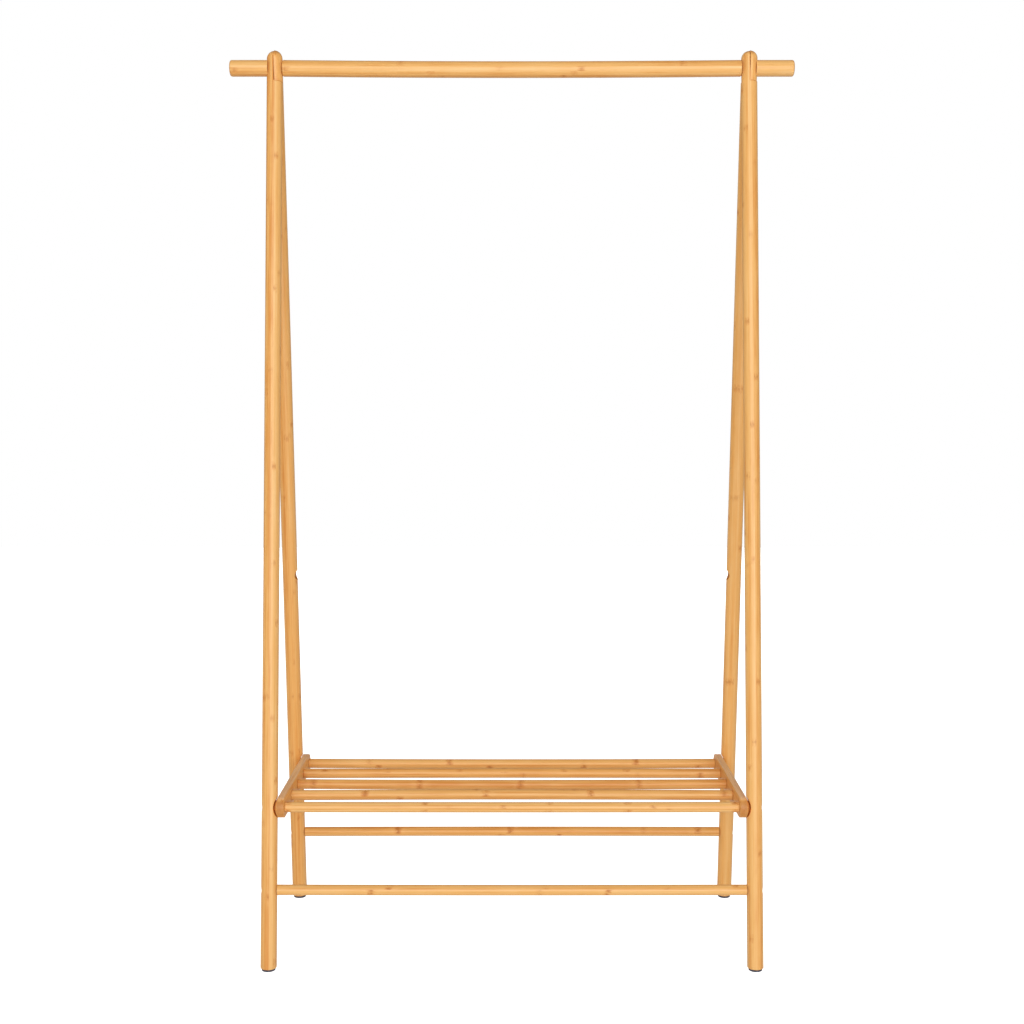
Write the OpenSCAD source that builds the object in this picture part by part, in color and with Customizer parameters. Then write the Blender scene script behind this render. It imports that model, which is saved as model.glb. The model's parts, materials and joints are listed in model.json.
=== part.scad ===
// Bamboo clothes rack: two A-frames joined by a hanging rod and two stretchers,
// with a slatted shelf that swings up on the front legs.
// Millimetres. +X runs along the hanging rod, +Y to the back, +Z up.
// The origin is on the floor, midway between the four feet.

/* [Overall] */
// Height from the floor to the top of the leg heads
overall_h = 1600; // [1300:10:1800]
// Length of the hanging rod from tip to tip
rod_len = 1000; // [950:10:1200]
// Distance between the planes of the two A-frames
frame_span = 842; // [760:2:860]
// Half of the distance between the front and the rear feet
foot_reach = 187; // [170:1:230]

/* [Round stock] */
// Diameter of the legs
leg_d = 28; // [26:0.5:32]
// Diameter of the hanging rod
rod_d = 28.5; // [24:0.5:30]
// Diameter of the stretchers and the shelf bars
bar_d = 18; // [16:0.5:20]

/* [Shelf and stretchers] */
// Height of the shelf's pivot axis
shelf_z = 277.5; // [260:0.5:320]
// Height of both stretchers
stretcher_z = 136; // [100:1:160]
// Distance between neighbouring shelf bars
bar_pitch = 76; // [70:0.5:78]
// Height of a shelf side rail
rail_h = 36; // [30:1:40]
// Thickness of a shelf side rail
rail_t = 12.5; // [11:0.5:15]

/* [Leg details] */
// How far a leg runs past the rod axis before its round end
head_reach = 16.5; // [16:0.5:24]
// Distance from the rod axis down to the shoulder of the half-lap
lap_shoulder = 25; // [18:1:28]
// Depth of the scoop beside each end of a shelf rail
scoop_depth = 6.5; // [6:0.5:8.5]
// Height of the small notch inside each rear leg
notch_z = 652; // [600:1:700]
// Thickness of a foot pad
pad_h = 4; // [3:0.5:6]

/* [Hidden] */
$fn = 64;

LEFT = -1;
RIGHT = 1;
FRONT = -1;
REAR = 1;

leg_r = leg_d / 2;
leg_x = frame_span / 2;
inner_x = leg_x - leg_r;
outer_x = leg_x + leg_r;

// The leg's lean sets the height of the rod axis, and the rod axis sets the lean:
// two passes settle both to far less than a hundredth of a millimetre.
rough_tilt = atan(foot_reach / (overall_h - leg_r - head_reach));
apex_z = overall_h - leg_r - head_reach * cos(rough_tilt);
tilt = atan(foot_reach / apex_z);

// Depth of an axis point of a leg at height z, and its distance down the leg
function leg_y(z) = foot_reach * (1 - z / apex_z);
function down_leg(z) = (apex_z - z) / cos(tilt);

big = 200;
seat_gap = 0.2;
lap_gap = 0.1;
moving_gap = 0.3;
glue_gap = 0.05;
run_clearance = 0.05;
over = 1;

// Head of the A-frame
cope_len = 170;
stud_r = 4;
stud_hole_r = 4.2;
insert_r = 6;
insert_len = 20;
insert_hole_len = 22;
end_round = 3.5;

// Scoops and notches in the legs
scoop_chord = 36;
scoop_r = (pow(scoop_chord / 2, 2) + pow(scoop_depth, 2)) / (2 * scoop_depth);
notch_depth = 4.2;
notch_r = 12.3;

// Bolts that hold the stretchers
bolt_r = 3;
bolt_hole_r = 3.2;
bolt_head_r = 5.5;
bolt_head_h = 4;
bolt_sink_r = 6.5;
sink_depth = 6;
bolt_socket_af = 4;
bolt_socket_depth = 2.5;
bolt_insert_r = 5;
bolt_insert_len = 18;

// Bolts that the shelf turns on
pivot_r = 4;
pivot_head_r = 6.3;
pivot_sink_r = 7;
pivot_socket_af = 5;
spacer_r = 16.5;
spacer_top_r = 5.5;
spacer_rim = 0.6;

// Shelf
bar_count = 5;
pivot_y = -leg_y(shelf_z);
rail_out_x = inner_x - moving_gap;
rail_in_x = rail_out_x - rail_t;
rail_len = bar_pitch * (bar_count - 1);
tenon_r = 6;
tenon_len = 9;

// Pegs that the back of the shelf rests on
peg_r = 5;
peg_in_leg = 14;
peg_out = 12;
peg_drop = rail_h / 2 + peg_r + moving_gap;
back_y = pivot_y + rail_len;
peg_y = leg_y(shelf_z - peg_drop);
peg_z = shelf_z - sqrt(pow(peg_drop, 2) - pow(peg_y - back_y, 2));

// Feet
pad_r = 11.8;
pad_hole_r = 1.7;
screw_r = 1.5;
screw_head_r = 3;
screw_head_h = 1.6;
screw_head_z = 1.2;
screw_len = 18;
pad_y = leg_y(pad_h / 2);

bamboo = [0.90, 0.66, 0.38];
bamboo_dark = [0.84, 0.58, 0.30];
steel = [0.72, 0.72, 0.72];
brass = [0.80, 0.66, 0.36];
rubber = [0.24, 0.25, 0.31];

// ---- shared shapes ----

// A cylinder along +X from x = from to x = to
module bar_x(r, from, to) {
    translate([from, 0, 0]) rotate([0, 90, 0]) cylinder(r = r, h = to - from);
}

// A round bar along +X whose two ends are rounded over
module rounded_bar_x(r, from, to, round_from, round_to) {
    length = to - from;
    translate([from, 0, 0]) rotate([0, 90, 0]) rotate_extrude() {
        translate([0, round_from]) square([r, length - round_from - round_to]);
        square([r - round_from, length]);
        square([r - round_to, length]);
        intersection() {
            translate([r - round_from, round_from]) circle(r = round_from);
            translate([r - round_from, 0]) square([round_from, round_from]);
        }
        intersection() {
            translate([r - round_to, length - round_to]) circle(r = round_to);
            translate([r - round_to, length - round_to]) square([round_to, round_to]);
        }
    }
}

// A threaded insert along +X that opens towards x = mouth
module insert_x(r, hole_r, mouth, length) {
    difference() {
        bar_x(r - glue_gap, mouth, mouth + length);
        bar_x(hole_r + glue_gap, mouth - over, mouth + length + over);
    }
}

// A socket-head bolt along X: its head's top faces +X
module bolt_x(shank_r, head_r, head_h, seat_x, tip_x, socket_af, socket_depth) {
    difference() {
        union() {
            bar_x(shank_r, tip_x, seat_x + over);
            bar_x(head_r, seat_x, seat_x + head_h);
        }
        translate([seat_x + head_h - socket_depth, 0, 0]) rotate([0, 90, 0])
            cylinder(d = socket_af / cos(30), h = socket_depth + over, $fn = 6);
    }
}

// Puts a child drawn for the right side on the given side
module on_side(side) {
    mirror([side == LEFT ? 1 : 0, 0, 0]) children();
}

// ---- legs ----

// Puts a child drawn along a leg's axis in the leg's place
module in_leg(side, row) {
    translate([side * leg_x, 0, apex_z]) rotate([row * tilt, 0, 0]) children();
}

module leg_stock(extra) {
    translate([0, 0, -down_leg(-leg_r)]) cylinder(r = leg_r + extra, h = down_leg(-leg_r) + head_reach);
    translate([0, 0, head_reach]) sphere(r = leg_r + extra);
}

// The half of space that the other leg's tongue takes: +X for a front leg
module other_half(row) {
    translate([row == FRONT ? -lap_gap / 2 : lap_gap / 2 - big, -big, -big]) cube([big, 2 * big, 2 * big]);
}

// Room for the other leg below the shoulder of the half-lap
module lap_cope(side, row) {
    intersection() {
        translate([side * leg_x, 0, apex_z]) other_half(row);
        in_leg(side, -row) translate([0, 0, -cope_len]) cylinder(r = leg_r + lap_gap, h = cope_len);
    }
}

module lap_cut(row) {
    intersection() {
        other_half(row);
        translate([-big, -big, -lap_shoulder]) cube([2 * big, 2 * big, big]);
    }
}

// A concave cut across the inner side of a leg
module inner_scoop(side, z, r, depth) {
    translate([-side * (leg_r - depth + r), 0, -down_leg(z)]) rotate([90, 0, 0])
        cylinder(r = r, h = 2 * leg_d, center = true);
}

// A hole across a leg with a recess for a bolt head on the outer side
module bolt_hole(side, z, hole_r, sink_r) {
    translate([0, 0, -down_leg(z)]) mirror([side == LEFT ? 1 : 0, 0, 0]) {
        bar_x(hole_r, -leg_d, leg_d);
        bar_x(sink_r, leg_r - sink_depth, leg_d);
    }
}

module leg(side, row) {
    color(bamboo) difference() {
        in_leg(side, row) difference() {
            leg_stock(0);
            lap_cut(row);
            bar_x(stud_hole_r, -leg_d, leg_d);
            inner_scoop(side, shelf_z, scoop_r, scoop_depth);
            bolt_hole(side, stretcher_z, bolt_hole_r, bolt_sink_r);
            if (row == FRONT) bolt_hole(side, shelf_z, pivot_r + run_clearance, pivot_sink_r);
            if (row == REAR) inner_scoop(side, notch_z, notch_r, notch_depth);
        }
        lap_cope(side, row);
        translate([-2 * big + side * leg_x, -2 * big, pad_h - big]) cube([4 * big, 4 * big, big]);
        foot_screw_hole(side, row);
        if (row == REAR) rest_peg_hole(side);
    }
}

module foot_screw_hole(side, row) {
    translate([side * leg_x, row * pad_y, -over]) cylinder(r = screw_r + glue_gap, h = screw_len + 2 * over);
}

module rest_peg_hole(side) {
    on_side(side) translate([0, peg_y, peg_z]) bar_x(peg_r + glue_gap, inner_x - leg_r, inner_x + peg_in_leg);
}

module foot_pad(side, row) {
    color(rubber) translate([side * leg_x, row * pad_y, 0]) difference() {
        cylinder(r = pad_r, h = pad_h - glue_gap);
        translate([0, 0, -over]) cylinder(r = pad_hole_r, h = pad_h + 2 * over);
        translate([0, 0, -over]) cylinder(r = screw_head_r + seat_gap, h = screw_head_z + screw_head_h + over);
    }
}

module foot_screws() {
    color(steel) for (side = [LEFT, RIGHT], row = [FRONT, REAR])
        translate([side * leg_x, row * pad_y, screw_head_z]) {
            cylinder(r = screw_head_r, h = screw_head_h);
            cylinder(r = screw_r, h = screw_len - screw_head_z);
        }
}

module rest_peg(side) {
    color(bamboo_dark) on_side(side) translate([0, peg_y, peg_z])
        rounded_bar_x(peg_r, inner_x - peg_out, inner_x + peg_in_leg - seat_gap, 1, 0.5);
}

// ---- hanging rod ----

rod_end_x = inner_x - seat_gap;
tip_start_x = outer_x + seat_gap;

module hanging_rod() {
    color(bamboo) translate([0, 0, apex_z]) difference() {
        rounded_bar_x(rod_d / 2, -rod_end_x, rod_end_x, end_round, end_round);
        for (side = [LEFT, RIGHT]) on_side(side) bar_x(insert_r, rod_end_x - insert_hole_len, rod_end_x + over);
    }
}

module rod_end(side) {
    color(bamboo) on_side(side) translate([0, 0, apex_z]) difference() {
        rounded_bar_x(rod_d / 2, tip_start_x, rod_len / 2, end_round / 2, end_round);
        bar_x(insert_r, tip_start_x - over, tip_start_x + insert_hole_len);
    }
}

module apex_stud(side) {
    color(steel) on_side(side) translate([0, 0, apex_z])
        bar_x(stud_r, rod_end_x - insert_len, tip_start_x + insert_len);
}

module rod_inserts() {
    color(brass) for (side = [LEFT, RIGHT]) on_side(side) translate([0, 0, apex_z]) {
        insert_x(insert_r, stud_r, rod_end_x - insert_len, insert_len);
        insert_x(insert_r, stud_r, tip_start_x, insert_len);
    }
}

// ---- stretchers ----

stretcher_y = leg_y(stretcher_z);

module stretcher(row) {
    color(bamboo) translate([0, row * stretcher_y, stretcher_z]) difference() {
        bar_x(bar_d / 2, -rod_end_x, rod_end_x);
        for (side = [LEFT, RIGHT]) on_side(side)
            bar_x(bolt_insert_r, rod_end_x - bolt_insert_len - over, rod_end_x + over);
    }
}

module stretcher_bolts(row) {
    color(steel) for (side = [LEFT, RIGHT]) on_side(side) translate([0, row * stretcher_y, stretcher_z])
        bolt_x(bolt_r, bolt_head_r, bolt_head_h, outer_x - sink_depth + glue_gap,
            rod_end_x - bolt_insert_len + over, bolt_socket_af, bolt_socket_depth);
}

module stretcher_inserts() {
    color(brass) for (side = [LEFT, RIGHT], row = [FRONT, REAR])
        on_side(side) translate([0, row * stretcher_y, stretcher_z])
            insert_x(bolt_insert_r, bolt_r, rod_end_x - bolt_insert_len, bolt_insert_len);
}

// ---- shelf ----

// Moves a child from the pivot axis to a bar's axis: bar 1 is the front one
module at_bar(number) {
    translate([0, pivot_y + (number - 1) * bar_pitch, shelf_z]) children();
}

module shelf_rail(side) {
    color(bamboo_dark) on_side(side) difference() {
        union() {
            at_bar(1) bar_x(rail_h / 2, rail_in_x, rail_out_x);
            at_bar(bar_count) bar_x(rail_h / 2, rail_in_x, rail_out_x);
            translate([rail_in_x, pivot_y, shelf_z - rail_h / 2]) cube([rail_t, rail_len, rail_h]);
        }
        at_bar(1) bar_x(pivot_r + glue_gap, rail_in_x - over, rail_out_x + over);
        for (number = [2:bar_count]) at_bar(number)
            bar_x(tenon_r + glue_gap, rail_in_x - over, rail_in_x + tenon_len + seat_gap);
    }
}

module shelf_bar(number) {
    color(bamboo) at_bar(number) {
        if (number == 1) difference() {
            bar_x(bar_d / 2, -rail_in_x + glue_gap, rail_in_x - glue_gap);
            for (side = [LEFT, RIGHT]) on_side(side)
                bar_x(insert_r, rail_in_x - insert_hole_len, rail_in_x + over);
        }
        else {
            bar_x(bar_d / 2, -rail_in_x + glue_gap, rail_in_x - glue_gap);
            bar_x(tenon_r, -rail_in_x - tenon_len, rail_in_x + tenon_len);
        }
    }
}

module pivot_bolt(side) {
    color(steel) on_side(side) at_bar(1)
        bolt_x(pivot_r, pivot_head_r, bolt_head_h, outer_x - sink_depth + moving_gap,
            rail_in_x - insert_len + over, pivot_socket_af, bolt_socket_depth);
}

// Conical washer that fills the scoop beside the rail and keeps clear of the scoop's floor
module pivot_spacer(side) {
    base_x = rail_out_x + glue_gap;
    top_x = inner_x + scoop_depth - 3 * moving_gap;
    color(bamboo_dark) on_side(side) at_bar(1) difference() {
        translate([base_x, 0, 0]) rotate([0, 90, 0]) union() {
            cylinder(r = spacer_r, h = spacer_rim);
            translate([0, 0, spacer_rim])
                cylinder(r1 = spacer_r, r2 = spacer_top_r, h = top_x - base_x - spacer_rim);
        }
        bar_x(pivot_r + glue_gap, base_x - over, top_x + over);
    }
}

module pivot_inserts() {
    color(brass) for (side = [LEFT, RIGHT]) on_side(side) at_bar(1)
        insert_x(insert_r, pivot_r, rail_in_x - glue_gap - insert_len, insert_len);
}

leg(LEFT, FRONT);  // front_leg_left
leg(RIGHT, FRONT);  // front_leg_right
leg(LEFT, REAR);  // rear_leg_left
leg(RIGHT, REAR);  // rear_leg_right
foot_pad(LEFT, FRONT);  // foot_pad_front_left
foot_pad(RIGHT, FRONT);  // foot_pad_front_right
foot_pad(LEFT, REAR);  // foot_pad_rear_left
foot_pad(RIGHT, REAR);  // foot_pad_rear_right
foot_screws();
hanging_rod();
rod_end(LEFT);  // rod_end_left
rod_end(RIGHT);  // rod_end_right
apex_stud(LEFT);  // apex_stud_left
apex_stud(RIGHT);  // apex_stud_right
rod_inserts();
stretcher(FRONT);  // front_stretcher
stretcher(REAR);  // rear_stretcher
stretcher_bolts(FRONT);  // stretcher_bolts_front
stretcher_bolts(REAR);  // stretcher_bolts_rear
stretcher_inserts();
shelf_rail(LEFT);  // shelf_rail_left
shelf_rail(RIGHT);  // shelf_rail_right
shelf_bar(1);  // shelf_bar_1
shelf_bar(2);  // shelf_bar_2
shelf_bar(3);  // shelf_bar_3
shelf_bar(4);  // shelf_bar_4
shelf_bar(5);  // shelf_bar_5
pivot_bolt(LEFT);  // pivot_bolt_left
pivot_bolt(RIGHT);  // pivot_bolt_right
pivot_spacer(LEFT);  // pivot_spacer_left
pivot_spacer(RIGHT);  // pivot_spacer_right
pivot_inserts();
rest_peg(LEFT);  // rest_peg_left
rest_peg(RIGHT);  // rest_peg_right
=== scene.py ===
import json
import math

import bmesh
import bpy
from mathutils import Matrix, Vector


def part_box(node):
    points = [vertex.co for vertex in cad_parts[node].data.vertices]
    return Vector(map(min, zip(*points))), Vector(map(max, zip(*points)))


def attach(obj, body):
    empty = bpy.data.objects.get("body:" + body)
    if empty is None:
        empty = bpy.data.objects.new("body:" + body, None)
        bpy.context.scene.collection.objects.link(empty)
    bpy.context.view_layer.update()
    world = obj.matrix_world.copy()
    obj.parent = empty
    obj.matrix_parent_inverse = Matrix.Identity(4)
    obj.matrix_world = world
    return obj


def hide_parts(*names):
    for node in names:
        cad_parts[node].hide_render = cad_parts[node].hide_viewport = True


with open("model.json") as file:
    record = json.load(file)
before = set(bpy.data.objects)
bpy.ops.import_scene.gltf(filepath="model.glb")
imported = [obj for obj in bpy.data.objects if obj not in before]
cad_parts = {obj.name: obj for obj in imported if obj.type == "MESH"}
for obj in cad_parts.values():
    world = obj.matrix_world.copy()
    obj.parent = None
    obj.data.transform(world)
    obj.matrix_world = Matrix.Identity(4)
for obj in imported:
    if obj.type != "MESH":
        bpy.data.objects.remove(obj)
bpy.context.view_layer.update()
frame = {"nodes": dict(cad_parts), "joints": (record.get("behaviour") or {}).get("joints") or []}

MM = 0.001
LEFT, RIGHT = -1, 1
FRONT, REAR = -1, 1
SIDE_NAMES = {LEFT: "left", RIGHT: "right"}
ROW_NAMES = {FRONT: "front", REAR: "rear"}
WHITE = (1.0, 1.0, 1.0, 1.0)


# ---- node graph helpers ----

class Graph:
    """Adds nodes to a node tree and links them in one call each."""

    def __init__(self, tree):
        self.tree = tree

    def node(self, kind, **settings):
        made = self.tree.nodes.new(kind)
        for key, value in settings.items():
            setattr(made, key, value)
        return made

    def feed(self, socket, value):
        """Links a socket to another one, or sets it to a plain value."""
        if isinstance(value, bpy.types.NodeSocket):
            self.tree.links.new(value, socket)
        else:
            socket.default_value = value

    def feed_all(self, sockets, values):
        for socket, value in zip(sockets, values):
            self.feed(socket, value)

    def math(self, operation, *values):
        made = self.node("ShaderNodeMath", operation=operation)
        self.feed_all(made.inputs, values)
        return made.outputs[0]

    def add(self, first, second):
        return self.math("ADD", first, second)

    def minus(self, first, second):
        return self.math("SUBTRACT", first, second)

    def times(self, first, second):
        return self.math("MULTIPLY", first, second)

    def over(self, first, second):
        return self.math("DIVIDE", first, second)

    def scaled(self, value, factor, offset):
        """value times factor, plus offset."""
        return self.math("MULTIPLY_ADD", value, factor, offset)

    def off_middle(self, value):
        """How far value is from the middle between two whole numbers."""
        return self.math("ABSOLUTE", self.minus(self.math("FRACT", value), 0.5))

    def vector(self, x, y, z):
        made = self.node("ShaderNodeCombineXYZ")
        self.feed_all(made.inputs, (x, y, z))
        return made.outputs[0]

    def axes(self, vector):
        made = self.node("ShaderNodeSeparateXYZ")
        self.feed(made.inputs[0], vector)
        return made.outputs

    def ramp(self, value, low, high):
        """0 where value is at low, 1 where it is at high, smooth between."""
        made = self.node("ShaderNodeMapRange", interpolation_type="SMOOTHSTEP")
        self.feed_all(made.inputs, (value, low, high, 0.0, 1.0))
        return made.outputs[0]

    def noise(self, place, scale=1.0, detail=2.0, roughness=0.5):
        made = self.node("ShaderNodeTexNoise")
        self.feed(made.inputs["Vector"], place)
        set_values(made, {"Scale": scale, "Detail": detail, "Roughness": roughness})
        return made.outputs["Fac"]

    def chance(self, place):
        """A different random number from 0 to 1 for each cell."""
        made = self.node("ShaderNodeTexWhiteNoise", noise_dimensions="3D")
        self.feed(made.inputs["Vector"], place)
        return made.outputs["Value"]

    def mix(self, amount, first, second, blend="MIX"):
        """A mix of two colours. A Mix node's sockets 6, 7 and 2 are its colours."""
        made = self.node("ShaderNodeMix", data_type="RGBA", blend_type=blend)
        self.feed(made.inputs["Factor"], amount)
        self.feed(made.inputs[6], first)
        self.feed(made.inputs[7], second)
        return made.outputs[2]

    def bump(self, shader, height, strength, distance):
        """Gives the shader a fine relief."""
        made = self.node("ShaderNodeBump")
        set_values(made, {"Strength": strength, "Distance": distance})
        self.feed(made.inputs["Height"], height)
        self.feed(shader.inputs["Normal"], made.outputs["Normal"])


def set_values(node, values):
    """Sets a node's own sockets, by name."""
    for name, value in values.items():
        node.inputs[name].default_value = value


def new_material(name):
    """A new material, its graph and its shader."""
    material = bpy.data.materials.new(name)
    material.use_nodes = True
    return material, Graph(material.node_tree), material.node_tree.nodes["Principled BSDF"]


def linear(red, green, blue):
    """A screen colour, 0 to 255 each, as the linear colour that shaders take."""
    def one(level):
        level = level / 255.0
        return level / 12.92 if level <= 0.04045 else ((level + 0.055) / 1.055) ** 2.4
    return (one(red), one(green), one(blue), 1.0)


# ---- camera, world, lights and floor ----

SENSOR_WIDTH = 36.0
FOCAL_LENGTH = 51.14
CAMERA_PLACE = (0.0, -2.635, 0.984)
DEGREES_DOWN = 4.43
CLIP_END = 60.0

# The world's light: its strength, what reflections get less, and its faint warmth
FILL_STRENGTH = 0.42
GLOSSY_LOSS = 0.28
FILL_COLOR = (1.0, 0.985, 0.965, 1.0)

FLOOR_SIZE = 14.0
FLOOR_GREY = (0.62, 0.62, 0.62, 1.0)
# The floor's glow as the scene gets it, and what the camera sees on top of that
FLOOR_GLOW = 0.10
FLOOR_CAMERA_GLOW = 0.90

# Name, place, target, width, height, watts, and whether it shows in reflections
SOFTBOXES = (
    ("key", (-0.6, -6.5, 2.5), (0.0, 0.0, 0.85), 4.4, 2.6, 174.0, True),
    ("fill", (1.8, -6.5, 1.3), (0.0, 0.0, 0.7), 4.0, 2.4, 122.0, True),
    ("back", (1.5, 6.5, 2.4), (0.0, 0.0, 0.8), 4.0, 2.4, 150.0, False),
    ("side", (-6.5, 1.5, 2.0), (0.0, 0.0, 0.8), 3.0, 2.4, 70.0, False),
)


def look(location, target):
    """A matrix at location whose -Z axis points at target."""
    turn = (Vector(target) - Vector(location)).to_track_quat("-Z", "Y")
    return Matrix.Translation(location) @ turn.to_matrix().to_4x4()


def make_camera():
    data = bpy.data.cameras.new("camera")
    camera = bpy.data.objects.new("camera", data)
    bpy.context.scene.collection.objects.link(camera)
    data.sensor_width = SENSOR_WIDTH
    data.lens = FOCAL_LENGTH
    data.dof.use_dof = False
    data.clip_end = CLIP_END
    camera.location = CAMERA_PLACE
    camera.rotation_euler = (math.radians(90.0 - DEGREES_DOWN), 0.0, 0.0)
    bpy.context.scene.camera = camera


def make_softbox(name, location, target, width, height, power, glossy):
    data = bpy.data.lights.new(name, "AREA")
    data.shape = "RECTANGLE"
    data.size, data.size_y = width, height
    data.energy = power
    light = bpy.data.objects.new(name, data)
    bpy.context.scene.collection.objects.link(light)
    light.matrix_world = look(location, target)
    light.visible_camera = False
    light.visible_glossy = glossy


def make_world():
    """A white backdrop that lights the rack more softly than it looks, and less again in reflections."""
    world = bpy.data.worlds.new("studio")
    world.use_nodes = True
    world.node_tree.nodes.clear()
    g = Graph(world.node_tree)
    rays = g.node("ShaderNodeLightPath").outputs
    fill = g.node("ShaderNodeBackground")
    fill.inputs["Color"].default_value = FILL_COLOR
    g.feed(fill.inputs["Strength"], g.scaled(rays["Is Glossy Ray"], -GLOSSY_LOSS, FILL_STRENGTH))
    backdrop = g.node("ShaderNodeBackground")
    backdrop.inputs["Color"].default_value = WHITE
    choose = g.node("ShaderNodeMixShader")
    g.feed(choose.inputs["Fac"], rays["Is Camera Ray"])
    g.feed(choose.inputs[1], fill.outputs["Background"])
    g.feed(choose.inputs[2], backdrop.outputs["Background"])
    output = g.node("ShaderNodeOutputWorld")
    g.feed(output.inputs["Surface"], choose.outputs["Shader"])
    bpy.context.scene.world = world
    bpy.context.scene.view_settings.view_transform = "Standard"


def make_floor():
    shape = bmesh.new()
    bmesh.ops.create_grid(shape, x_segments=1, y_segments=1, size=FLOOR_SIZE / 2)
    floor = make_object("floor", shape)
    material, g, shader = new_material("floor_white")
    set_values(shader, {"Base Color": FLOOR_GREY, "Roughness": 0.9, "Specular IOR Level": 0.1})
    shader.inputs["Emission Color"].default_value = WHITE
    rays = g.node("ShaderNodeLightPath").outputs
    glow = g.scaled(rays["Is Camera Ray"], FLOOR_CAMERA_GLOW, FLOOR_GLOW)
    g.feed(shader.inputs["Emission Strength"], glow)
    floor.data.materials.append(material)


# ---- bamboo ----

# The wood's tones
PALE = linear(245, 197, 130)
HONEY = linear(239, 182, 106)
AMBER = linear(222, 150, 72)
KNOT = linear(206, 122, 40)
KNOT_LINE = linear(166, 86, 20)
END_GRAIN = linear(176, 112, 54)
# The plies' tones: partly the plies' own edges, partly a painted sheen that makes a board's top and
# bottom paler and less orange
PLY_PALE_WITH_SHEEN = linear(252, 220, 182)
PLY_DARK_WITH_SHEEN = linear(228, 176, 132)

# What multiplies the tones: in front, at the rear, on the shelf's rails, and in the cuts of
# the front legs and of the rear legs. The rear tint is painted shade: it makes the rear
# pieces darker and more orange than the front ones, for the weaker light at the back
FRONT_TINT = (1.0, 1.0, 1.0)
REAR_PAINTED_SHADE_TINT = (1.0, 0.945, 0.85)
RAIL_TINT = (1.0, 0.91, 0.78)
# The cuts' tints are partly the raw cut's darker wood and partly painted shade: deep orange in the front
# legs' cuts beside the rails, dark brown in the rear legs' cuts
SCOOP_CUT_AND_SHADE_TINT = (1.0, 0.68, 0.10)
NOTCH_CUT_AND_SHADE_TINT = (0.60, 0.42, 0.26)

# Strip width, distance between knots and strength of the knots for each kind of piece
POLE_WOOD = (7.5 * MM, 0.27, 0.5)
ROD_WOOD = (7.5 * MM, 0.27, 0.6)
CUT_WOOD = (7.5 * MM, 0.27, 0.0)
STRETCHER_WOOD = (11 * MM, 0.21, 0.8)
SHELF_BAR_WOOD = (11 * MM, 0.20, 0.8)
RAIL_WOOD = (6 * MM, 0.24, 0.5)
PEG_WOOD = (9 * MM, 0.20, 0.4)
SPACER_WOOD = (9 * MM, 0.30, 0.0)

# Textures drawn out along the grain: scale across it and along it, detail, roughness
FIBRE = (620.0, 7.0, 3.0, 0.62)
STREAK = (190.0, 2.2, 2.0, 0.5)
FLECK = (2300.0, 90.0, 1.0, 0.5)
CLOUD = (70.0, 14.0, 2.0, 0.55)
KNOT_RIM = (360.0, 150.0, 2.0, 0.6)
KNOT_PATCH = (260.0, 90.0, 2.0, 0.5)

# How much each strip, fibre, streak and cloud changes the tone
STRIP_CONTRAST = 0.32
FIBRE_CONTRAST = 0.74
STREAK_CONTRAST = 0.74
CLOUD_CONTRAST = 0.40

# A strip's width across Y, in strip widths, and what keeps strips and knots out of line
STRIP_DEPTH = 2.4
ROW_SHIFT = 0.37
COLUMN_SHIFT = 0.41
FIBRE_SHIFT = 5.0
KNOT_SHIFT = 7.3
KNOT_DRAW = 31.7

# A knot's half lengths along the grain, from where it fades to where it is full
KNOT_SMUDGE = (9.5 * MM, 2.0 * MM)
KNOT_CORE = (2.8 * MM, 0.2 * MM)
KNOT_HALO = (24 * MM, 8 * MM)
# How far its edge strays, and how far it may lie from even spacing, as a share of the gap
KNOT_RAGGED = 14 * MM
KNOT_WANDER = 0.8


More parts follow.
